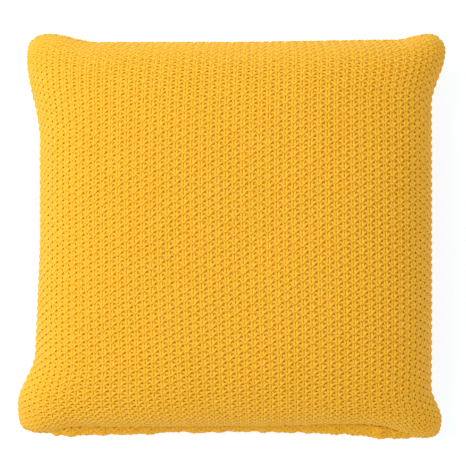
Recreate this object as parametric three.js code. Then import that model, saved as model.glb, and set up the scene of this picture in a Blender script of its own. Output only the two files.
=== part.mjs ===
// A square knitted cushion, filled, lying on its back with its face up.
// The cover is a front and a back panel sewn together round the rim, so the cushion is one
// filled solid: crowned on both faces, drawn in along its sides, with an ear at each corner,
// a rolled edge along the bottom where the cover closes, and flat underneath where it rests.
// Millimetres, +Z up. +X runs to the right of the face and +Y to its top.
import * as THREE from "three";

// Driving dimensions
const HALF_WIDTH = 218; // middle to the drawn-in left and right sides
const HALF_LENGTH = 214; // middle to the drawn-in top and bottom sides
const CROWN = 86; // rise of the face above the rim
const BACK_DROP = 78; // drop of the back below the rim, before the floor flattens it
const RIM_HEIGHT = 60; // rim above the floor, at the middle of a side
const RIM_BAND = 9; // height of the sewn rim between the two panels
const RIM_ROUND = 2.5; // how far the sewn rim bulges
const FLOOR_BLEND = 7; // height over which the back rolls on to the floor
const EAR_DROOP = 9; // how far the corners hang below the rim's height
const SKEW = 3.5; // sideways lean of the cover on its filling, from its middle to its top
const CROWN_SHIFT = -6; // how far the crown lies off the middle, to the left

// Form of a section: a higher power is flatter across the middle and steeper at the rim.
const SECTION_FLATNESS = 3.8;
const SECTION_STEPS = 120;
const EAR_FULLNESS = 0.86; // under 1 the corners are fuller than the two sections make them
const EAR_DROOP_POWER = 3; // how close to the corner the droop stays
const SIDE_PULL = 3; // how close to the rim the ears' flare stays
const OUTWARD_POWER = 8; // how suddenly the rim's outward direction turns at a corner
const TAIL_POWER = 1.3; // how evenly a side widens towards its ears
const SIDE_EASE = 0.25; // how far the cloth evens out along a sewn side, 1 being fully

const CELLS = 38; // mesh cells along each panel
const RIM_CELLS = 3; // mesh cells over the rim's height
const CELL_CROWDING = 0.28; // how much closer the cells lie towards the rim

// Ears, by corner signs: the share of the half side by which the corner is rounded off, and for
// its side that faces X and its side that faces Y: how far that side widens evenly towards the
// ear, how far the ear steps out, and the shares of the half side between which it does so.
const EARS = [
  {
    x: -1, y: 1, round: 0.028,
    sideX: { tail: 0, step: 16, from: 0.5, to: 0.94 },
    sideY: { tail: 0, step: 11, from: 0.7, to: 0.95 },
  },
  {
    x: 1, y: 1, round: 0.028,
    sideX: { tail: 0, step: 17.5, from: 0.68, to: 0.96 },
    sideY: { tail: 4, step: 8, from: 0.8, to: 0.97 },
  },
  {
    x: 1, y: -1, round: 0.02,
    sideX: { tail: 0, step: 12.5, from: 0.78, to: 0.94 },
    sideY: { tail: 2.5, step: 11, from: 0.64, to: 0.95 },
  },
  {
    x: -1, y: -1, round: 0.03,
    sideX: { tail: 10, step: 17, from: 0.63, to: 0.88 },
    sideY: { tail: 3, step: 5.5, from: 0.74, to: 0.94 },
  },
];

// The rolled edge along the bottom: place along the side, and how far the roll stands out.
const ROLLED_EDGE = [
  { at: -1, out: 0 },
  { at: -0.82, out: 0 },
  { at: -0.77, out: 3 },
  { at: -0.73, out: 5.6 },
  { at: -0.66, out: 5.8 },
  { at: -0.4, out: 5.6 },
  { at: -0.28, out: 3.4 },
  { at: -0.18, out: 4.8 },
  { at: 0, out: 3.8 },
  { at: 0.3, out: 4.4 },
  { at: 0.5, out: 5.8 },
  { at: 0.63, out: 8 },
  { at: 0.7, out: 5 },
  { at: 0.76, out: 2 },
  { at: 0.82, out: 0 },
  { at: 1, out: 0 },
];
const ROLL_FULLNESS = 0.9; // extra rim height for each millimetre that the roll stands out

// Soft swells and hollows of the face: place, spread and rise.
const SWELLS = [
  { x: -0.62, y: -0.6, spread: 0.22, rise: -3 },
  { x: 0.66, y: 0.62, spread: 0.2, rise: -3 },
  { x: 0.6, y: -0.68, spread: 0.2, rise: -2.5 },
  { x: -0.66, y: 0.66, spread: 0.18, rise: -2 },
  { x: -0.25, y: 0.2, spread: 0.4, rise: 2.5 },
  { x: 0.35, y: -0.25, spread: 0.35, rise: 1.5 },
];

// Half a section through the middle of a panel, from its middle to its rim.
function halfSection() {
  const points = [];
  for (let step = 0; step <= SECTION_STEPS; step++) {
    const turn = (Math.PI / 2) * (step / SECTION_STEPS);
    const out = HALF_WIDTH * Math.sin(turn) ** (2 / SECTION_FLATNESS);
    points.push(new THREE.Vector2(out, CROWN * Math.cos(turn)));
  }
  return new THREE.SplineCurve(points);
}

const section = halfSection();
section.arcLengthDivisions = 4 * SECTION_STEPS;

// Where a share of the cloth's length, from -1 to 1, lies on the section: how far out in plan,
// and how far up, both as shares.
function onSection(share) {
  const point = section.getPointAt(Math.min(Math.abs(share), 1));
  return { out: (Math.sign(share) * point.x) / HALF_WIDTH, up: Math.max(point.y / CROWN, 0) };
}

function smooth(value) {
  const held = THREE.MathUtils.clamp(value, 0, 1);
  return held * held * (3 - 2 * held);
}

// A value read from a table of rows at, out, eased between the rows.
function alongEdge(rows, place) {
  const next = rows.findIndex((row) => row.at >= place);
  if (next <= 0) return rows[Math.max(next, 0)].out;
  const before = rows[next - 1];
  const after = rows[next];
  const share = (place - before.at) / (after.at - before.at);
  return THREE.MathUtils.lerp(before.out, after.out, smooth(share));
}

// How far an ear pushes its side out, at a share of the half side towards it.
function flare(side, share) {
  if (share <= 0) return 0;
  return side.tail * share ** TAIL_POWER + side.step * smooth((share - side.from) / (side.to - side.from));
}

function flareX(p, q) {
  return EARS.filter((ear) => ear.x * p > 0).reduce(
    (sum, ear) => sum + flare(ear.sideX, ear.y * q), 0);
}

function flareY(p, q) {
  return EARS.filter((ear) => ear.y * q > 0).reduce(
    (sum, ear) => sum + flare(ear.sideY, ear.x * p), 0);
}

// The share that is left of a place in plan near a corner. With this power the rounds from the
// corner's two sides run into each other smoothly.
function cornerRound(ear, other) {
  const power = (1 - ear.round) / ear.round;
  return 1 - ear.round * Math.abs(other) ** power;
}

// The direction in plan that faces away from the cushion, on its rim.
function outward(p, q) {
  const turnX = Math.sign(p) * Math.abs(p) ** OUTWARD_POWER;
  const turnY = Math.sign(q) * Math.abs(q) ** OUTWARD_POWER;
  return new THREE.Vector2(turnX, turnY).normalize();
}

function swell(p, q) {
  return SWELLS.reduce((sum, row) => {
    const away = ((p - row.x) ** 2 + (q - row.y) ** 2) / row.spread ** 2;
    return sum + row.rise * Math.exp(-away);
  }, 0);
}

// Zero up to minus the blend, then a parabola, then the height itself: flat on the floor.
function onFloor(height) {
  if (height <= -FLOOR_BLEND) return 0;
  if (height >= FLOOR_BLEND) return height;
  return (height + FLOOR_BLEND) ** 2 / (4 * FLOOR_BLEND);
}

// The point of the cushion for a place on the cover: s and t are shares of a panel's cloth
// across and along it, and level runs from 1 on the face through the rim to -1 on the back.
function cushionPoint(s, t, level) {
  const across = onSection(s);
  const along = onSection(t);
  // Stitches lie evenly over the crown, and draw a little closer to even along a sewn side.
  const p = s + (across.out - s) * (1 - SIDE_EASE * (1 - along.up));
  const q = t + (along.out - t) * (1 - SIDE_EASE * (1 - across.up));
  const ear = EARS.find((row) => row.x * p >= 0 && row.y * q >= 0);
  const inner = (1 - s * s) * (1 - t * t);
  const roll = t === -1 ? alongEdge(ROLLED_EDGE, s) : 0;
  const bulge = outward(p, q).multiplyScalar(RIM_ROUND * (1 - level * level));
  const x = p * cornerRound(ear, q) * HALF_WIDTH + bulge.x
    + Math.sign(p) * Math.abs(p) ** SIDE_PULL * flareX(p, q) + (CROWN_SHIFT - SKEW * t) * inner;
  const y = q * cornerRound(ear, p) * HALF_LENGTH + bulge.y
    + Math.sign(q) * Math.abs(q) ** SIDE_PULL * flareY(p, q) - roll * (1 - level * level);

  const rim = RIM_HEIGHT - EAR_DROOP * Math.abs(p * q) ** EAR_DROOP_POWER;
  const band = (RIM_BAND + ROLL_FULLNESS * roll) / 2;
  const height = (across.up * along.up) ** EAR_FULLNESS;
  let z = rim + level * band;
  if (level === 1) z += CROWN * height + swell(p, q) * height;
  if (level === -1) z -= BACK_DROP * height;
  return new THREE.Vector3(x, y, onFloor(z));
}

// Moves an even row of cells, from -1 to 1, closer together towards both ends.
function crowdToRim(share) {
  return share * (1 + CELL_CROWDING * (1 - share * share));
}

// A box with a face, a back and a low rim, each of its points moved to its place on the cushion.
function cushionGeometry() {
  const geometry = new THREE.BoxGeometry(2, 2, 2, CELLS, CELLS, RIM_CELLS);
  geometry.deleteAttribute("normal");
  geometry.deleteAttribute("uv");
  const position = geometry.attributes.position;
  for (let i = 0; i < position.count; i++) {
    const s = crowdToRim(position.getX(i));
    const t = crowdToRim(position.getY(i));
    const place = cushionPoint(s, t, position.getZ(i));
    position.setXYZ(i, place.x, place.y, place.z);
  }
  geometry.computeBoundingBox();
  const middle = geometry.boundingBox.getCenter(new THREE.Vector3());
  geometry.translate(-middle.x, -middle.y, 0);
  geometry.computeVertexNormals();
  return geometry;
}

const yellowYarn = new THREE.MeshStandardMaterial({
  color: 0xf1b637,
  roughness: 0.92,
  metalness: 0,
});

const cushion = new THREE.Mesh(cushionGeometry(), yellowYarn);
cushion.name = "cushion";

const knittedCushion = new THREE.Group();
knittedCushion.add(cushion);

export default knittedCushion;
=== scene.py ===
"""A square knitted cushion in golden yarn, lying on its back with its face up.

The cover's form is worked out from the same shares of cloth as the solid, and yarn is laid on it:
each course of the front, of the back and of the rolled closing edge is one closed tube.
"""

import math
from collections import namedtuple

import bpy
import numpy as np
from bpy.props import FloatProperty, FloatVectorProperty, IntProperty, PointerProperty
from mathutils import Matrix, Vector


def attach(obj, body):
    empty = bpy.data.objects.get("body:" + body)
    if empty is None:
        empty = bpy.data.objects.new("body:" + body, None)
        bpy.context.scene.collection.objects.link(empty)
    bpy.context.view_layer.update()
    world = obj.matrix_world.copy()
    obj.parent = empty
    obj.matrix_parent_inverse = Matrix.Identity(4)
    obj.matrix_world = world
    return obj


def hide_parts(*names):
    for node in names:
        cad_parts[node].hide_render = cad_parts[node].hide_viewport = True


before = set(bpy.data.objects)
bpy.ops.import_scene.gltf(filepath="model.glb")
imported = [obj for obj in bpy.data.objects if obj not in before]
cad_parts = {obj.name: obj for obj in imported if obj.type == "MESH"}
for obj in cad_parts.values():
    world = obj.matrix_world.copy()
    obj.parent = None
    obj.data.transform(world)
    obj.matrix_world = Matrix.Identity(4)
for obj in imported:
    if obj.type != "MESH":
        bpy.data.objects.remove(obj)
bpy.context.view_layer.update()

bl_info = {
    "name": "Knitted cushion",
    "version": (1, 0, 0),
    "blender": (4, 5, 0),
    "location": "3D View > Sidebar > Cushion",
    "description": "Builds a filled cushion whose cover is knitted loop by loop",
    "category": "Object",
}

MM = 0.001
TINY = 1e-9  # least length that is divided by

# Form of the cover, in millimetres
HALF_WIDTH = 218.0
HALF_LENGTH = 214.0
CROWN = 86.0  # rise of the face above the rim
BACK_DROP = 78.0  # fall of the back below the rim
RIM_HEIGHT = 60.0
RIM_BAND = 9.0  # width of the sewn rim
RIM_ROUND = 2.5  # how far it bulges
FLOOR_BLEND = 7.0  # height over which the back eases on to the floor
EAR_DROOP = 9.0  # how far the rim sinks at the ears
EAR_DROOP_POWER = 3
EAR_FULLNESS = 0.86  # below 1, the panels stand fuller towards the rim
SKEW = 3.5  # lean of the panels, to the left above their middle and to the right below it
CROWN_SHIFT = -6.0  # shift of the middle of the panels to the right
SECTION_FLATNESS = 3.8  # power of the curve that a panel follows from its middle to the rim
SECTION_STEPS = 4000
SIDE_EASE = 0.25  # how much more evenly the cloth lies near the sides
SIDE_PULL = 3  # power with which a flare of a side fades towards the middle
TAIL_POWER = 1.3  # power with which a flare's tail grows towards the ear
OUTWARD_POWER = 8  # power that turns the bulge of the rim at the corners
PLAN_PLACES = 2001  # places along each side at which the plan is measured

# Ears by corner signs: rounding, then tail, step, start and end of the side facing X and of the one facing Y
EARS = (
    (-1, 1, 0.028, (0, 16, 0.5, 0.94), (0, 11, 0.7, 0.95)),
    (1, 1, 0.028, (0, 17.5, 0.68, 0.96), (4, 8, 0.8, 0.97)),
    (1, -1, 0.02, (0, 12.5, 0.78, 0.94), (2.5, 11, 0.64, 0.95)),
    (-1, -1, 0.03, (10, 17, 0.63, 0.88), (3, 5.5, 0.74, 0.94)),
)

# Soft swells and hollows of the face: place across and along, spread and rise
SWELLS = (
    (-0.62, -0.6, 0.22, -3),
    (0.66, 0.62, 0.2, -3),
    (0.6, -0.68, 0.2, -2.5),
    (-0.66, 0.66, 0.18, -2),
    (-0.25, 0.2, 0.4, 2.5),
    (0.35, -0.25, 0.35, 1.5),
)

# Rolled closing edge: place along the bottom side, and how far the roll stands out
ROLL_AT = (-1, -0.82, -0.77, -0.73, -0.66, -0.4, -0.28, -0.18, 0, 0.3, 0.5, 0.63, 0.7, 0.76, 0.82, 1)
ROLL_OUT = (0, 0, 3, 5.6, 5.8, 5.6, 3.4, 4.8, 3.8, 4.4, 5.8, 8, 5, 2, 0, 0)
ROLL_REACH = 0.97  # share of the bottom side over which the edge is rolled
ROLL_LEAST = 3.6  # half the roll's thickness where it hardly stands out
ROLL_SWELL = 0.5  # how much that grows for each millimetre that the roll stands out
ROLL_FILL = 0.5  # and for each millimetre that the face draws in
ROLL_LIFT = 0.55  # rise of the roll above the rim, for each millimetre that it stands out
ROLL_FROM = -2.6  # turn round the roll at which its cloth starts, under the rim
ROLL_TO = 2.3  # turn at which it ends, on the face
ROLL_PROUD = 0.8  # how far the roll stands out everywhere but at its ends
ROLL_SUNK = 0.3  # how far it sinks in along the ears
ROLL_FULL = 2.0  # how far out the edge stands where it is a full roll
ROLL_RAMP = 0.8  # rise of its cloth on to the face, as a share of half its thickness
RAMP_FROM = 0.9  # turn at which that starts
ROLL_CLOTH = 30.0  # cloth round the fullest part of the roll
ROLL_ROWS = 9
ROLL_WAVES = ((0.45, 61.0, 0.0), (0.35, 97.0, 2.0))  # unevenness along the roll: rise, pace and start
CORE_SIDES = 14  # sides of the filling in the roll
CORE_DEPTH = 1.6  # depth of that filling below the roll's surface
CORE_RINGS = 2  # rings of it for each wale

# Hollow of the face beside the rolled edge: place along the bottom side, and how far the face draws in
DRAWN_AT = (-1, -0.8, -0.74, 0.1, 0.3, 0.42, 0.65, 0.75, 0.82, 1)
DRAWN_IN = (0, 0, 0.6, 0.6, 3, 5.5, 4.2, 1.2, 0, 0)
DRAWN_WIDTH = 20.0  # cloth over which it does

# Half loops, knit and purl, from the middle of the loop to the middle of the yarn between two wales, in
# millimetres of cloth: across, along and out of the cloth, and the thickness as a share of the yarn's
FRONT_LOOP = (
    (0, -2.2, 0.95, 1.0),
    (1.25, -1.85, 0.95, 1.0),
    (1.9, -0.65, 0.75, 1.0),
    (1.75, 1.05, 0.4, 1.0),
    (1.35, 2.7, 0.15, 1.0),
    (1.25, 4.5, 0.0, 0.95),
    (1.3, 6.1, -0.3, 0.9),
    (2.1, 7.4, -0.3, 0.85),
    (3.6, 7.95, 0.1, 0.85),
    (4.65, 7.95, 0.5, 0.9),
)
BACK_LOOP = (
    (0, 1.4, -1.0, 0.85),
    (0.8, 2.0, -0.5, 0.9),
    (1.2, 3.6, 0.4, 0.95),
    (1.8, 5.4, 0.95, 1.0),
    (3.05, 7.1, 1.0, 1.0),
    (4.65, 7.95, 0.5, 0.9),
)
LOOP_WALE = 9.3
LOOP_COURSE = 4.8
LOOP_MIDDLE = 4.1
LOOP_SCALE = (0.03, 0.04, 0.08, 0.03)  # how much loops vary in width, length, height and thickness
LOOP_STRAY = (0.12, 0.14, 0.06, 0)  # how far they stray across, along and out of the cloth
OWN_WEIGHT = 6  # weight of a point of the yarn against each neighbour, where the yarn is smoothed
CURVE_STEPS = 16  # steps of the curve between two points of a half loop

# Points of a knit loop and of a purl loop, and sides of the tube
FRONT_POINTS = (10, 7)
BACK_POINTS = (6, 4)
ROLL_POINTS = (8, 6)
YARN_SIDES = 5

# How the yarn lies on the cloth
FLATTENED = 0.78  # height of a strand's section against its width
SLOPE_STEP = 0.002  # share of the cloth over which slopes are measured
LEAST_AREA = 0.2  # least area of drawn-up cloth, as a share of its flat area
YARN_SQUEEZE = (0.78, 1.04)  # least and most thickness of the yarn as the cloth draws up or stretches
CREST = 2.2  # height of the loops above the middle of the knit
COURSE_RISE = 0.09  # rise of the courses from left to right, for each share of the cloth across
COURSE_SLACK = 0.073  # how much further apart the courses lie on the middle of the crown
SHORTEST = 12  # points of the shortest length of yarn that is laid
CORNER = 0.985  # share of the cloth past which courses stop at a corner
TUCK = 5.0  # how far a course's ends turn in at the sides
STRIP_END = 0.002  # margin at the ends of a course's strip in the baked picture
STRIP_EDGE = 0.04  # margin along that strip
FRONT_SEED = 11
BACK_SEED = 12
ROLL_SEED = 13

# Filled cover under the loops
UNDER = 0.6  # depth of the cover below the middle of the knit
COVER_LEVELS = (0.75, 0.35, -0.35, -0.75)  # rows of the cover round the rim, from the face to the back
COVER_CELLS = 64  # cells of the cover from side to side
COVER_SPREAD = 0.28  # how much wider than even ones they are in the middle

# Stage, in metres
FLOOR_HALF = 6.0
KEY_AIM = (0, 0, 0.05)
SENSOR_WIDTH = 36.0  # of the camera, in millimetres
FRAME_WIDTH = 0.522  # width of the picture at the height of the rim
CAMERA_AT = (0.0014, 0.0031)  # place of the camera over the floor

# Numbers of sockets: the two colours and the result of Mix, and the object's own coordinates
MIX_FIRST = 6
MIX_SECOND = 7
MIX_RESULT = 2
OBJECT_PLACE = 3

# A cloth to knit: its point for two shares, which way is out, its rows, the rise of its loops and its reach
Cloth = namedtuple("Cloth", "place outward row rise reach")


# Form

def section_table():
    """Shares of a panel's half cloth against how far out and how far up they lie."""
    turn = np.linspace(0, math.pi / 2, SECTION_STEPS + 1)
    out = np.sin(turn) ** (2 / SECTION_FLATNESS)
    up = np.cos(turn)
    step = np.hypot(np.diff(out) * HALF_WIDTH, np.diff(up) * CROWN)
    length = np.concatenate([[0], np.cumsum(step)])
    return length / length[-1], out, up, length[-1]


SECTION_SHARE, SECTION_OUT, SECTION_UP, HALF_CLOTH = section_table()


def on_section(share):
    """How far out and how far up a share of cloth lies, each against its full measure."""
    held = np.minimum(np.abs(share), 1)
    out = np.sign(share) * np.interp(held, SECTION_SHARE, SECTION_OUT)
    return out, np.interp(held, SECTION_SHARE, SECTION_UP)


def smooth(value):
    """Eases from 0 to 1."""
    held = np.clip(value, 0, 1)
    return held * held * (3 - 2 * held)


def along_edge(places, values, s):
    """Values at places along the bottom, eased from one to the next."""
    at = np.array(places, float)
    value = np.array(values, float)
    held = np.clip(s, -1, 1)
    after = np.clip(np.searchsorted(at, held), 1, len(at) - 1)
    before = after - 1
    share = smooth((held - at[before]) / (at[after] - at[before]))
    return value[before] + (value[after] - value[before]) * share


def roll_out(s):
    """How far the rolled edge stands out."""
    return along_edge(ROLL_AT, ROLL_OUT, s)


def drawn_in(s):
    """How far the face draws in beside the rolled edge."""
    return along_edge(DRAWN_AT, DRAWN_IN, s)


def flare(side, share):
    """How far a side stands out towards its ear."""
    tail, step, start, end = side
    held = np.maximum(share, 0)
    return tail * held ** TAIL_POWER + step * smooth((held - start) / (end - start))


def cushion_point(s, t, level, face, roll):
    """Point of the cover in millimetres for shares of cloth and a level between back, -1, and face, 1."""
    across_out, across_up = on_section(s)
    along_out, along_up = on_section(t)
    p = s + (across_out - s) * (1 - SIDE_EASE * (1 - along_up))
    q = t + (along_out - t) * (1 - SIDE_EASE * (1 - across_up))
    flare_x = np.zeros_like(p)
    flare_y = np.zeros_like(p)
    round_x = np.ones_like(p)
    round_y = np.ones_like(p)
    for ear_x, ear_y, rounding, side_x, side_y in EARS:
        flare_x += np.where(ear_x * p > 0, flare(side_x, ear_y * q), 0)
        flare_y += np.where(ear_y * q > 0, flare(side_y, ear_x * p), 0)
        here = (ear_x * p >= 0) & (ear_y * q >= 0)
        power = (1 - rounding) / rounding
        round_x = np.where(here, 1 - rounding * np.abs(q) ** power, round_x)
        round_y = np.where(here, 1 - rounding * np.abs(p) ** power, round_y)
    turn_x = np.sign(p) * np.abs(p) ** OUTWARD_POWER
    turn_y = np.sign(q) * np.abs(q) ** OUTWARD_POWER
    turn = np.maximum(np.hypot(turn_x, turn_y), TINY)
    bulge = RIM_ROUND * (1 - level * level)
    inner = (1 - s * s) * (1 - t * t)
    x = p * round_x * HALF_WIDTH + bulge * turn_x / turn
    x += np.sign(p) * np.abs(p) ** SIDE_PULL * flare_x + (CROWN_SHIFT - SKEW * t) * inner
    y = q * round_y * HALF_LENGTH + bulge * turn_y / turn
    y += np.sign(q) * np.abs(q) ** SIDE_PULL * flare_y - roll * (1 - level * level)
    height = (across_up * along_up) ** EAR_FULLNESS
    z = RIM_HEIGHT - EAR_DROOP * np.abs(p * q) ** EAR_DROOP_POWER
    z += level * RIM_BAND / 2
    if face > 0:
        swell = sum(rise * np.exp(-((p - sx) ** 2 + (q - sy) ** 2) / spread ** 2)
                    for sx, sy, spread, rise in SWELLS)
        z += (CROWN + swell) * height
    else:
        z -= BACK_DROP * height
    floored = np.where(z <= -FLOOR_BLEND, 0, (z + FLOOR_BLEND) ** 2 / (4 * FLOOR_BLEND))
    z = np.where(z >= FLOOR_BLEND, z, floored)
    return np.stack([x, y, z], axis=-1)


def panel_point(s, t, face):
    """Point of a panel, which runs past its edges on to the middle of the sewn rim."""
    over = np.maximum(np.maximum(np.abs(s), np.abs(t)) - 1, 0) * HALF_CLOTH
    level = face * np.clip(1 - over / (RIM_BAND / 2), -1, 1)
    return cushion_point(np.clip(s, -1, 1), np.clip(t, -1, 1), level, face, np.zeros_like(s))


def front_point(s, t):
    """Point of the front panel."""
    return panel_point(s, t, 1)


def back_point(s, t):
    """Point of the back panel."""
    return panel_point(s, t, -1)


def roll_middle(s):
    """Middle of the rolled edge, and half of its thickness."""
    held = np.clip(s, -1, 1)
    zero = np.zeros_like(held)
    out = roll_out(held)
    waves = sum(rise * np.sin(pace * held + start) for rise, pace, start in ROLL_WAVES)
    there = np.clip(out / ROLL_FULL, 0, 1)
    out = np.maximum(out + waves * there, 0)
    half = ROLL_LEAST + ROLL_SWELL * out + ROLL_FILL * drawn_in(held)
    middle = cushion_point(held, zero - 1, zero, 1, zero)
    middle[:, 1] += half - out - ROLL_PROUD * there + ROLL_SUNK * (1 - there)
    middle[:, 2] += ROLL_LIFT * out
    return middle, half


def roll_point(s, t):
    """Point of the rolled edge, whose cloth runs from under the rim, round the outside, on to the face."""
    middle, half = roll_middle(s)
    turn = ROLL_FROM + (ROLL_TO - ROLL_FROM) * t * HALF_CLOTH / ROLL_CLOTH
    middle[:, 1] -= half * np.cos(turn)
    ramp = ROLL_RAMP * smooth((turn - RAMP_FROM) / (ROLL_TO - RAMP_FROM))
    middle[:, 2] += half * (np.sin(turn) + ramp)
    return middle


def rim_middle():
    """Middle of the plan, which lies at the origin."""
    along = np.linspace(-1, 1, PLAN_PLACES)
    one = np.ones_like(along)
    zero = np.zeros_like(along)
    sides = [
        cushion_point(along, one, zero, 1, zero),
        cushion_point(along, -one, zero, 1, roll_out(along)),
        cushion_point(one, along, zero, 1, zero),
        cushion_point(-one, along, zero, 1, zero),
    ]
    points = np.concatenate(sides)
    middle = (points.min(axis=0) + points.max(axis=0)) / 2
    return np.array([middle[0], middle[1], 0])


PLAN_MIDDLE = rim_middle()


def core_rings(s):
    """Rings of the filling in the rolled edge, under the cloth that runs round it."""
    middle, half = roll_middle(s)
    inner = ((half - CORE_DEPTH) / half)[:, None, None]
    places = np.linspace(0, ROLL_CLOTH / HALF_CLOTH, CORE_SIDES)
    rings = np.stack([roll_point(s, np.full_like(s, place)) for place in places], axis=1)
    return middle[:, None] + (rings - middle[:, None]) * inner - PLAN_MIDDLE


def point_and_out(place, s, t, outward):
    """Points of a cloth with the directions that face out of it, and how far it stretches there."""
    step = SLOPE_STEP
    points = place(s, t)
    across = (place(s + step, t) - place(s - step, t)) / (2 * step * HALF_CLOTH)
    along = (place(s, t + step) - place(s, t - step)) / (2 * step * HALF_CLOTH)
    out = np.cross(across, along) * outward
    length = np.maximum(np.linalg.norm(out, axis=1), TINY)
    stretch = np.sqrt(np.maximum(length, LEAST_AREA))
    return points - PLAN_MIDDLE, out / length[:, None], stretch


def groove(s, t):
    """How far the face dips where it meets the rolled edge."""
    away = np.maximum((t + 1) * HALF_CLOTH, 0)
    return -drawn_in(s) * np.exp(-(away / DRAWN_WIDTH) ** 2)


def level_knit(s, t):
    """No dip or rise, for a cloth whose loops lie level."""
    return np.zeros_like(s)


# Yarn

def even_curve(keys, count):
    """Evenly spaced points on a smooth curve through the keys, without its last point."""
    fine = []
    steps = np.linspace(0, 1, CURVE_STEPS, endpoint=False)[:, None]
    for k in range(1, len(keys) - 2):
        a, b, c, d = keys[k - 1:k + 3]
        fine.append(0.5 * (2 * b + (c - a) * steps + (2 * a - 5 * b + 4 * c - d) * steps ** 2
                           + (3 * b - a - 3 * c + d) * steps ** 3))
    fine.append(keys[-2:-1])
    fine = np.concatenate(fine)
    length = np.concatenate([[0], np.cumsum(np.linalg.norm(np.diff(fine, axis=0), axis=1))])
    places = np.linspace(0, length[-1], count + 1)[:-1]
    return np.stack([np.interp(places, length, fine[:, axis]) for axis in range(fine.shape[1])], axis=1)


def loop_pair(front_count, back_count):
    """Points of a knit loop and of a purl loop, each as it lies between two of the other kind."""
    mirror = np.array([-1, 1, 1, 1])
    shift = np.array([LOOP_WALE, 0, 0, 0])
    front = np.array(FRONT_LOOP, float)
    back = np.array(BACK_LOOP, float)
    front_whole = np.concatenate([front[:0:-1] * mirror, front])
    back_whole = np.concatenate([back[:0:-1] * mirror, back])
    front_keys = np.concatenate([back_whole[-2:-1] - shift, front_whole, back_whole[1:2] + shift])
    back_keys = np.concatenate([front_whole[-2:-1] - shift, back_whole, front_whole[1:2] + shift])
    return even_curve(front_keys, front_count), even_curve(back_keys, back_count)


def course_path(wales, course, pair, draw):
    """Path of one course in millimetres of cloth: across from its left end, along, and out."""
    parts = []
    for wale in range(wales):
        loop = pair[(wale + course) % 2].copy()
        loop[:, 1] -= LOOP_MIDDLE
        loop *= 1 + draw.normal(0, LOOP_SCALE)
        loop += draw.normal(0, LOOP_STRAY)
        loop[:, 0] += (wale + 0.5) * LOOP_WALE
        parts.append(loop)
    path = np.concatenate(parts)
    path[1:-1] = (path[:-2] + OWN_WEIGHT * path[1:-1] + path[2:]) / (OWN_WEIGHT + 2)
    return path


def tube(points, out, radius, sides):
    """Rings of points round a path, starting on the side that faces into the cushion."""
    run = np.gradient(points, axis=0)
    run /= np.maximum(np.linalg.norm(run, axis=1), TINY)[:, None]
    side = np.cross(run, out)
    side /= np.maximum(np.linalg.norm(side, axis=1), TINY)[:, None]
    up = np.cross(side, run) * FLATTENED
    turn = 2 * math.pi * np.arange(sides) / sides - math.pi / 2
    ring = np.cos(turn)[None, :, None] * side[:, None, :] + np.sin(turn)[None, :, None] * up[:, None, :]
    return points[:, None, :] + radius[:, None, None] * ring


class YarnMesh:
    """Gathers closed tubes and makes one mesh of them."""

    def __init__(self, sides):
        self.sides = sides
        self.points = []
        self.quads = []
        self.caps = []
        self.twist = []
        self.count = 0

    def add_course(self, points, out, radius):
        """Adds a course of yarn whose ends turn in."""
        first = points[0] - out[0] * TUCK
        last = points[-1] - out[-1] * TUCK
        points = np.concatenate([first[None], points, last[None]])
        out = np.concatenate([out[:1], out, out[-1:]])
        radius = np.concatenate([radius[:1], radius, radius[-1:]])
        self.add_rings(tube(points, out, radius, self.sides), points)

    def add_rings(self, shell, points):
        """Adds a tube made of rings round the points of a path."""
        sides = self.sides
        rings = len(points)
        number = self.count + np.arange(rings * sides).reshape(rings, sides)
        turned = np.roll(number, -1, axis=1)
        quads = np.stack([number[:-1], number[1:], turned[1:], turned[:-1]], axis=-1)
        length = np.concatenate([[0], np.cumsum(np.linalg.norm(np.diff(points, axis=0), axis=1))])
        round_low = np.arange(sides) / sides
        round_high = (np.arange(sides) + 1) / sides
        start = np.broadcast_to(length[:-1, None], (rings - 1, sides))
        end = np.broadcast_to(length[1:, None], (rings - 1, sides))
        low = np.broadcast_to(round_low[None], (rings - 1, sides))
        high = np.broadcast_to(round_high[None], (rings - 1, sides))
        along = np.stack([start, end, end, start], axis=-1)
        around = np.stack([low, low, high, high], axis=-1)
        self.points.append(shell.reshape(-1, 3))
        self.quads.append(quads.reshape(-1, 4))
        self.caps.append(number[0])
        self.caps.append(number[-1][::-1])
        self.twist.append(np.stack([along, around], axis=-1).reshape(-1, 2))
        self.count += rings * sides

    def build(self, name):
        """The mesh, with one map for the baked picture and one that follows the strand."""
        points = np.concatenate(self.points) * MM
        quads = np.concatenate(self.quads)
        loops = np.concatenate([quads.reshape(-1)] + self.caps)
        quad_starts = np.arange(len(quads)) * 4
        cap_starts = len(quads) * 4 + np.arange(len(self.caps)) * self.sides
        starts = np.concatenate([quad_starts, cap_starts])
        mesh = bpy.data.meshes.new(name)
        mesh.vertices.add(len(points))
        mesh.vertices.foreach_set("co", points.astype(np.float32).reshape(-1))
        mesh.loops.add(len(loops))
        mesh.loops.foreach_set("vertex_index", loops.astype(np.int32))
        mesh.polygons.add(len(starts))
        mesh.polygons.foreach_set("loop_start", starts.astype(np.int32))
        cap_uv = np.zeros((len(self.caps) * self.sides, 2))
        twist = np.concatenate(self.twist + [cap_uv])
        bake = np.concatenate(self.bake_strips() + [cap_uv])
        for layer_name, values in (("OFBake", bake), ("Twist", twist)):
            layer = mesh.uv_layers.new(name=layer_name)
            layer.data.foreach_set("uv", values.astype(np.float32).reshape(-1))
        mesh.update(calc_edges=True)
        mesh.validate()
        return smooth_shaded(mesh)

    def bake_strips(self):
        """A strip of the picture for each tube."""
        strips = []
        count = len(self.twist)
        for k, twist in enumerate(self.twist):
            longest = twist[:, 0].max()
            along = STRIP_END + (1 - 2 * STRIP_END) * twist[:, 0] / longest
            around = (k + STRIP_EDGE + (1 - 2 * STRIP_EDGE) * twist[:, 1]) / count
            strips.append(np.stack([along, around], axis=-1))
        return strips


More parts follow.
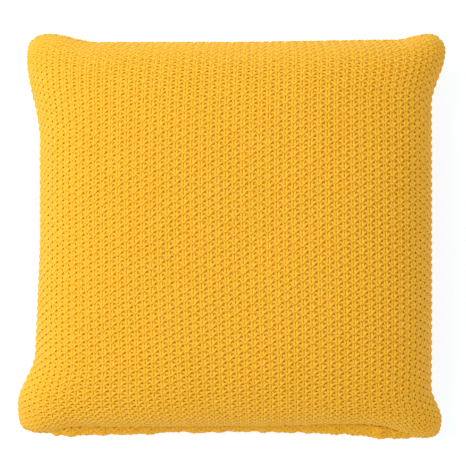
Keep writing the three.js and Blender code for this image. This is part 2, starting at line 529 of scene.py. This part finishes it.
def smooth_shaded(mesh):
    """The mesh with all its faces shaded smooth."""
    mesh.polygons.foreach_set("use_smooth", np.ones(len(mesh.polygons), bool))
    mesh.update()
    return mesh


def lay_courses(mesh, cloth, courses, wales, pair, half_yarn, draw):
    """Lays courses of yarn on a cloth, each as far as the cloth reaches."""
    for course in courses:
        path = course_path(wales, course, pair, draw)
        s, t = cloth.row(path[:, 0], path[:, 1], course)
        off_corner = (np.abs(s) < CORNER) | (np.abs(t) < CORNER)
        inside = np.nonzero((np.abs(t) < cloth.reach) & off_corner)[0]
        if len(inside) < SHORTEST:
            continue
        kept = slice(inside[0], inside[-1] + 1)
        s = s[kept]
        t = np.clip(t[kept], -cloth.reach, cloth.reach)
        path = path[kept]
        points, out, stretch = point_and_out(cloth.place, s, t, cloth.outward)
        height = path[:, 2] * stretch + cloth.rise(s, t) - CREST
        radius = half_yarn * path[:, 3] * np.clip(stretch, *YARN_SQUEEZE)
        mesh.add_course(points + out * height[:, None], out, radius)


def panel_cloth(knit, place, outward, rise):
    """The cloth of a panel, whose courses rise a little to the right and crowd towards the rim."""
    half = HALF_CLOTH + RIM_BAND / 2
    across = 2 * half / (knit.wales * LOOP_WALE)
    along = 2 * half / (knit.courses * LOOP_COURSE)

    def row(x, y, course):
        s = (x * across - half) / HALF_CLOTH
        t = (((course + 0.5) * LOOP_COURSE + y) * along - half) / HALF_CLOTH + COURSE_RISE * s
        slack = COURSE_SLACK * np.maximum(1 - s * s, 0) ** 2 * np.maximum(1 - t * t, 0)
        return s, t * (1 + slack)

    return Cloth(place, outward, row, rise, 1 + RIM_BAND / 2 / HALF_CLOTH)


def roll_cloth(wales):
    """The cloth of the rolled closing edge, whose courses run along it."""
    def row(x, y, course):
        s = (x / (wales * LOOP_WALE) * 2 - 1) * ROLL_REACH
        share = (course + 0.5 + y / LOOP_COURSE) / ROLL_ROWS
        return s, share * ROLL_CLOTH / HALF_CLOTH

    return Cloth(roll_point, 1, row, level_knit, 1)


# Materials

class Value:
    """A socket of a material's node tree, on which sums and products add Math nodes."""

    def __init__(self, shade, socket):
        self.shade = shade
        self.socket = socket

    def math(self, operation, first, second):
        return self.shade.node("ShaderNodeMath", {"operation": operation}, {0: first, 1: second})[0]

    def __add__(self, other):
        return self.math("ADD", self, other)

    def __radd__(self, other):
        return self.math("ADD", other, self)

    def __sub__(self, other):
        return self.math("SUBTRACT", self, other)

    def __rsub__(self, other):
        return self.math("SUBTRACT", other, self)

    def __mul__(self, other):
        return self.math("MULTIPLY", self, other)

    def __rmul__(self, other):
        return self.math("MULTIPLY", other, self)

    def sine(self):
        return self.shade.node("ShaderNodeMath", {"operation": "SINE"}, {0: self})[0]


class Shade:
    """A material and its nodes."""

    def __init__(self, name):
        self.material = bpy.data.materials.new(name)
        self.material.use_nodes = True
        self.tree = self.material.node_tree
        self.surface = self.tree.nodes["Principled BSDF"]

    def node(self, kind, settings, sockets):
        """Adds a node, sets it up, feeds its sockets and returns its outputs."""
        made = self.tree.nodes.new(kind)
        for key, value in settings.items():
            setattr(made, key, value)
        for key, value in sockets.items():
            self.feed(made.inputs[key], value)
        return [Value(self, output) for output in made.outputs]

    def feed(self, socket, value):
        if isinstance(value, Value):
            self.tree.links.new(value.socket, socket)
        else:
            socket.default_value = value

    def set(self, **sockets):
        """Feeds sockets of the surface, named with underscores for spaces."""
        for key, value in sockets.items():
            self.feed(self.surface.inputs[key.replace("_", " ")], value)

    def mix(self, share, first, second):
        settings = {"data_type": "RGBA", "clamp_factor": True}
        sockets = {"Factor": share, MIX_FIRST: first, MIX_SECOND: second}
        return self.node("ShaderNodeMix", settings, sockets)[MIX_RESULT]

    def place(self):
        """Place on the object, in metres."""
        return self.node("ShaderNodeTexCoord", {}, {})[OBJECT_PLACE]

    def noise(self, vector, scale, detail):
        sockets = {"Vector": vector, "Scale": scale, "Detail": detail, "Roughness": 0.6}
        return self.node("ShaderNodeTexNoise", {}, sockets)[0]

    def bump(self, height, strength, distance):
        sockets = {"Strength": strength, "Distance": distance, "Height": height}
        return self.node("ShaderNodeBump", {}, sockets)[0]


def opaque(colour):
    """The colour with a full alpha."""
    return (colour[0], colour[1], colour[2], 1.0)


def yarn_material(name, colours):
    """Plied matte yarn: twist and fibres along the strand, softly uneven dye, and painted shade where its
    bump lies low.
    """
    shade = Shade(name)
    twist = shade.node("ShaderNodeUVMap", {"uv_map": "Twist"}, {})[0]
    split = shade.node("ShaderNodeSeparateXYZ", {}, {"Vector": twist})
    along = split[0]
    around = split[1]
    turns = along * (1 / colours.ply_length) + around
    ply = (turns * (2 * math.pi * colours.plies)).sine() * 0.5 + 0.5
    paces = {"X": along * 0.35, "Y": turns * 9.0, "Z": around * 3.0}
    strand = shade.node("ShaderNodeCombineXYZ", {}, paces)[0]
    fibre = shade.noise(strand, scale=1.0, detail=2.0)
    place = shade.place()
    patch = shade.noise(place, scale=34.0, detail=2.0)
    stitch = shade.noise(place, scale=130.0, detail=1.0)
    tone = patch * 0.5 + stitch * 0.5
    dye_contrast = 2.4
    dye_offset = 0.7
    dyed = shade.mix(tone * dye_contrast - dye_offset, opaque(colours.deep), opaque(colours.bright))
    # Painted shade: the yarn turns to the groove colour where its bump lies low, between the plies and
    # between the fibres
    painted_groove_shade_mask = ply * 0.35 + fibre * 0.5 + 0.15
    groove_shaded_colour = shade.mix(painted_groove_shade_mask, opaque(colours.groove), dyed)
    relief = ply * 0.55 + fibre * 0.45
    normal = shade.bump(relief, strength=0.5, distance=0.0006)
    shade.set(Base_Color=groove_shaded_colour, Roughness=fibre * 0.16 + 0.78, Normal=normal)
    shade.set(Specular_IOR_Level=0.4, Sheen_Weight=0.28, Sheen_Roughness=0.35)
    shade.set(Sheen_Tint=opaque(colours.halo))
    return shade.material


def inside_material(name, colours):
    """The inner side of the loops, seen between the wales, with painted shade: a redder orange than the yarn,
    darker where its bump lies low.
    """
    shade = Shade(name)
    place = shade.place()
    strands = shade.noise(place, scale=420.0, detail=3.0)
    patch = shade.noise(place, scale=40.0, detail=2.0)
    # Painted shade: the colour turns to the inner shade where the strands' bump lies low, and at random in
    # patches
    colour = shade.mix(strands * 0.6 + patch * 0.4, opaque(colours.inner_painted_shade), opaque(colours.inner))
    normal = shade.bump(strands, strength=0.6, distance=0.001)
    shade.set(Base_Color=colour, Roughness=patch * 0.1 + 0.86, Normal=normal)
    shade.set(Specular_IOR_Level=0.2, Sheen_Weight=0.2, Sheen_Roughness=0.5)
    return shade.material


def floor_material(name, stage):
    """A pale matte floor that gives off light."""
    shade = Shade(name)
    grain = shade.noise(shade.place(), scale=60.0, detail=2.0)
    shade.set(Base_Color=opaque(stage.floor_colour), Roughness=grain * 0.1 + 0.8)
    shade.set(Specular_IOR_Level=0.1)
    shade.set(Emission_Color=opaque(stage.glow_colour), Emission_Strength=stage.floor_glow)
    return shade.material


def found_or_made(name, make, settings):
    """The material of that name, made at its first use."""
    return bpy.data.materials.get(name) or make(name, settings)


def yarn_finish():
    return found_or_made("golden_yarn", yarn_material, bpy.context.scene.cushion_colours)


def inside_finish():
    return found_or_made("inner_loops", inside_material, bpy.context.scene.cushion_colours)


# Pieces

def add_piece(name, mesh, material):
    """Adds a piece of the cushion to the scene."""
    piece = bpy.data.objects.new(name, mesh)
    bpy.context.scene.collection.objects.link(piece)
    mesh.materials.append(material)
    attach(piece, "root")
    return piece


def knit_panel(name, knit, cloth, bands, pair, seed):
    """Knits a panel in bands of courses, each one mesh."""
    draw = np.random.default_rng(seed)
    spare = math.ceil(COURSE_RISE * knit.courses / 2)
    edges = np.linspace(-spare, knit.courses + spare, len(bands) + 1).astype(int)
    for band, low, high in zip(bands, edges[:-1], edges[1:]):
        yarn = YarnMesh(YARN_SIDES)
        lay_courses(yarn, cloth, range(low, high), knit.wales, pair, knit.yarn / MM / 2, draw)
        piece_name = f"{name}_{band}"
        add_piece(piece_name, yarn.build(piece_name), yarn_finish())


def cover_mesh(name):
    """The cover under the loops: a grid for each panel, and rows that join them round the rim."""
    share = np.linspace(-1, 1, COVER_CELLS + 1)
    share = share * (1 + COVER_SPREAD * (1 - share * share))
    s, t = np.meshgrid(share, share, indexing="ij")
    s = s.reshape(-1)
    t = t.reshape(-1)
    depth = CREST + UNDER
    front, front_out, _ = point_and_out(front_point, s, t, 1)
    back, back_out, _ = point_and_out(back_point, s, t, -1)
    dip = groove(s, t)
    points = [front + front_out * (dip - depth)[:, None], back - back_out * depth]

    size = COVER_CELLS + 1
    number = np.arange(size * size).reshape(size, size)
    corners = [number[:-1, :-1], number[1:, :-1], number[1:, 1:], number[:-1, 1:]]
    top = np.stack(corners, axis=-1).reshape(-1, 4)
    under = top[:, ::-1] + size * size
    faces = [top, under]

    ring = np.concatenate([number[:-1, 0], number[-1, :-1], number[:0:-1, -1], number[0, :0:-1]])
    flush = np.zeros(len(ring))
    rows = [ring]
    for step, level in enumerate(COVER_LEVELS):
        band = cushion_point(s[ring], t[ring], flush + level, 1, flush) - PLAN_MIDDLE
        band_out = front_out[ring] * (1 + level) + back_out[ring] * (1 - level)
        band_out /= np.linalg.norm(band_out, axis=1)[:, None]
        points.append(band - band_out * depth)
        rows.append(2 * size * size + step * len(ring) + np.arange(len(ring)))
    rows.append(ring + size * size)
    for upper, lower in zip(rows[:-1], rows[1:]):
        faces.append(np.stack([upper, lower, np.roll(lower, -1), np.roll(upper, -1)], axis=-1))

    mesh = bpy.data.meshes.new(name)
    mesh.from_pydata((np.concatenate(points) * MM).tolist(), [], np.concatenate(faces).tolist())
    return smooth_shaded(mesh)


# Stage

def add_floor(scene, stage):
    mesh = bpy.data.meshes.new("floor")
    corners = [(-1, -1), (1, -1), (1, 1), (-1, 1)]
    mesh.from_pydata([(x * FLOOR_HALF, y * FLOOR_HALF, 0) for x, y in corners], [], [(0, 1, 2, 3)])
    mesh.materials.append(found_or_made("pale_floor", floor_material, stage))
    floor = bpy.data.objects.new("floor", mesh)
    scene.collection.objects.link(floor)


def add_light(scene, stage):
    """Even light from all round, and a soft lamp at the upper left."""
    world = bpy.data.worlds.new("soft_room")
    scene.world = world
    world.use_nodes = True
    ground = world.node_tree.nodes["Background"]
    ground.inputs["Color"].default_value = opaque(stage.room_colour)
    ground.inputs["Strength"].default_value = stage.room

    lamp = bpy.data.lights.new("key", "AREA")
    lamp.shape = "DISK"
    lamp.size = stage.key_size
    lamp.energy = stage.key
    key = bpy.data.objects.new("key", lamp)
    key.location = stage.key_place
    key.rotation_euler = (Vector(KEY_AIM) - key.location).to_track_quat("-Z", "Y").to_euler()
    scene.collection.objects.link(key)


def add_camera(scene, stage):
    """A camera that looks straight down."""
    lens = bpy.data.cameras.new("camera")
    lens.sensor_width = SENSOR_WIDTH
    lens.lens = SENSOR_WIDTH * (stage.height - RIM_HEIGHT * MM) / FRAME_WIDTH
    camera = bpy.data.objects.new("camera", lens)
    camera.location = (*CAMERA_AT, stage.height)
    scene.collection.objects.link(camera)
    scene.camera = camera
    scene.view_settings.view_transform = "Standard"


# Settings

class CushionKnit(bpy.types.PropertyGroup):
    """Sizes of the knit."""
    wales: IntProperty(name="Wales", description="Loops across a panel", default=58, min=2)
    courses: IntProperty(name="Courses", description="Rows of loops along a panel", default=117, min=2)
    yarn: FloatProperty(name="Yarn", description="Thickness of the yarn", default=0.0037,
                        unit="LENGTH", subtype="DISTANCE")
    fill: FloatProperty(name="Filling", description="How tightly the cover is filled", default=0.7,
                        min=0, max=1, subtype="FACTOR")


class CushionColours(bpy.types.PropertyGroup):
    """Colours of the yarn, the painted shade of its ply grooves and inner loops, and the make of its strand.
    """
    bright: FloatVectorProperty(name="Bright dye", description="Lighter places of the yarn",
                                default=(0.98, 0.615, 0.062), subtype="COLOR", min=0, max=1)
    deep: FloatVectorProperty(name="Deep dye", description="Darker places of the yarn",
                              default=(0.94, 0.55, 0.03), subtype="COLOR", min=0, max=1)
    # Painted shade: the colour of the yarn deep between its plies
    groove: FloatVectorProperty(name="Ply groove", description="Colour between the plies",
                                default=(0.88, 0.475, 0.009), subtype="COLOR", min=0, max=1)
    halo: FloatVectorProperty(name="Halo", description="Fine fibres seen edge on",
                              default=(1.0, 0.88, 0.78), subtype="COLOR", min=0, max=1)
    # The yarn's inner side, painted a redder orange than the bright dye as shade for the holes between the
    # loops
    inner: FloatVectorProperty(name="Inner loops", description="Inner side of the loops",
                               default=(1.0, 0.575, 0.02), subtype="COLOR", min=0, max=1)
    # Painted shade in the hollows of the inner loops
    inner_painted_shade: FloatVectorProperty(name="Inner shade", description="Hollows between the inner loops",
                                    default=(0.97, 0.525, 0.014), subtype="COLOR", min=0, max=1)
    plies: IntProperty(name="Plies", description="Plies twisted into the yarn", default=3, min=1)
    ply_length: FloatProperty(name="Twist", description="Millimetres of yarn for one turn",
                              default=9.0, min=1)


class CushionStage(bpy.types.PropertyGroup):
    """Light, floor and camera."""
    floor_colour: FloatVectorProperty(name="Floor", description="Colour of the floor",
                                      default=(0.7, 0.7, 0.7), subtype="COLOR", min=0, max=1)
    floor_glow: FloatProperty(name="Floor glow", description="Strength of the light that the floor gives off",
                              default=0.745, min=0)
    glow_colour: FloatVectorProperty(name="Glow colour", description="Colour of the floor's light",
                                     default=(0.639, 0.8, 1.0), subtype="COLOR", min=0, max=1)
    key: FloatProperty(name="Key light", description="Power of the soft light at the upper left",
                       default=41.5, unit="POWER")
    key_size: FloatProperty(name="Key size", description="Width of the soft light", default=2.0,
                            unit="LENGTH", subtype="DISTANCE")
    key_place: FloatVectorProperty(name="Key place", description="Place of the soft light",
                                   default=(-1.51, 0.7, 2.0), unit="LENGTH", subtype="TRANSLATION")
    room: FloatProperty(name="Room light", description="Strength of the even light", default=0.69, min=0)
    room_colour: FloatVectorProperty(name="Room colour", description="Colour of the even light",
                                     default=(1.0, 0.87, 0.66), subtype="COLOR", min=0, max=1)
    height: FloatProperty(name="Camera height", description="Camera above the floor", default=2.5,
                          unit="LENGTH", subtype="DISTANCE")


# Operators

class CUSHION_OT_cover(bpy.types.Operator):
    """Make the filled cover under the loops"""
    bl_idname = "cushion.cover"
    bl_label = "Filled cover"

    def execute(self, context):
        piece = add_piece("filled_cover", cover_mesh("filled_cover"), inside_finish())
        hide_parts("cushion")
        return {"FINISHED"}


class CUSHION_OT_front(bpy.types.Operator):
    """Knit the front panel, which carries on to the middle of the sewn rim"""
    bl_idname = "cushion.front"
    bl_label = "Front knit"

    def execute(self, context):
        knit = context.scene.cushion_knit
        cloth = panel_cloth(knit, front_point, 1, groove)
        bands = ("lowest", "lower", "upper", "highest")
        knit_panel("front_knit", knit, cloth, bands, loop_pair(*FRONT_POINTS), FRONT_SEED)
        return {"FINISHED"}


class CUSHION_OT_back(bpy.types.Operator):
    """Knit the back panel"""
    bl_idname = "cushion.back"
    bl_label = "Back knit"

    def execute(self, context):
        knit = context.scene.cushion_knit
        cloth = panel_cloth(knit, back_point, -1, level_knit)
        knit_panel("back_knit", knit, cloth, ("lower", "upper"), loop_pair(*BACK_POINTS), BACK_SEED)
        return {"FINISHED"}


class CUSHION_OT_roll(bpy.types.Operator):
    """Knit the rolled closing edge, where the back comes round to the front"""
    bl_idname = "cushion.roll"
    bl_label = "Rolled closing edge"

    def execute(self, context):
        knit = context.scene.cushion_knit
        wales = round(knit.wales * ROLL_REACH)
        draw = np.random.default_rng(ROLL_SEED)
        yarn = YarnMesh(YARN_SIDES)
        lay_courses(yarn, roll_cloth(wales), range(ROLL_ROWS), wales, loop_pair(*ROLL_POINTS),
                    knit.yarn / MM / 2, draw)
        add_piece("closing_roll", yarn.build("closing_roll"), yarn_finish())

        core = YarnMesh(CORE_SIDES)
        rings = core_rings(np.linspace(-ROLL_REACH, ROLL_REACH, CORE_RINGS * wales))
        core.add_rings(rings, rings.mean(axis=1))
        add_piece("closing_core", core.build("closing_core"), inside_finish())
        return {"FINISHED"}


class CUSHION_OT_stage(bpy.types.Operator):
    """Set out the floor, the light and the camera"""
    bl_idname = "cushion.stage"
    bl_label = "Stage"

    def execute(self, context):
        scene = context.scene
        stage = scene.cushion_stage
        add_floor(scene, stage)
        add_light(scene, stage)
        add_camera(scene, stage)
        return {"FINISHED"}


class CUSHION_PT_panel(bpy.types.Panel):
    """Sizes, colours and pieces of the cushion"""
    bl_idname = "CUSHION_PT_panel"
    bl_label = "Knitted cushion"
    bl_space_type = "VIEW_3D"
    bl_region_type = "UI"
    bl_category = "Cushion"

    def draw(self, context):
        scene = context.scene
        for group in (scene.cushion_knit, scene.cushion_colours, scene.cushion_stage):
            box = self.layout.box()
            for name in group.__annotations__:
                box.prop(group, name)
        for operator in OPERATORS:
            self.layout.operator(operator.bl_idname)


GROUPS = (CushionKnit, CushionColours, CushionStage)
OPERATORS = (CUSHION_OT_cover, CUSHION_OT_front, CUSHION_OT_back, CUSHION_OT_roll, CUSHION_OT_stage)
CLASSES = GROUPS + OPERATORS + (CUSHION_PT_panel,)


def register():
    for item in CLASSES:
        bpy.utils.register_class(item)
    bpy.types.Scene.cushion_knit = PointerProperty(type=CushionKnit)
    bpy.types.Scene.cushion_colours = PointerProperty(type=CushionColours)
    bpy.types.Scene.cushion_stage = PointerProperty(type=CushionStage)


def unregister():
    del bpy.types.Scene.cushion_stage
    del bpy.types.Scene.cushion_colours
    del bpy.types.Scene.cushion_knit
    for item in reversed(CLASSES):
        bpy.utils.unregister_class(item)


def main():
    register()
    bpy.ops.cushion.cover()
    bpy.ops.cushion.front()
    bpy.ops.cushion.back()
    bpy.ops.cushion.roll()
    bpy.ops.cushion.stage()


if __name__ == "__main__":
    main()
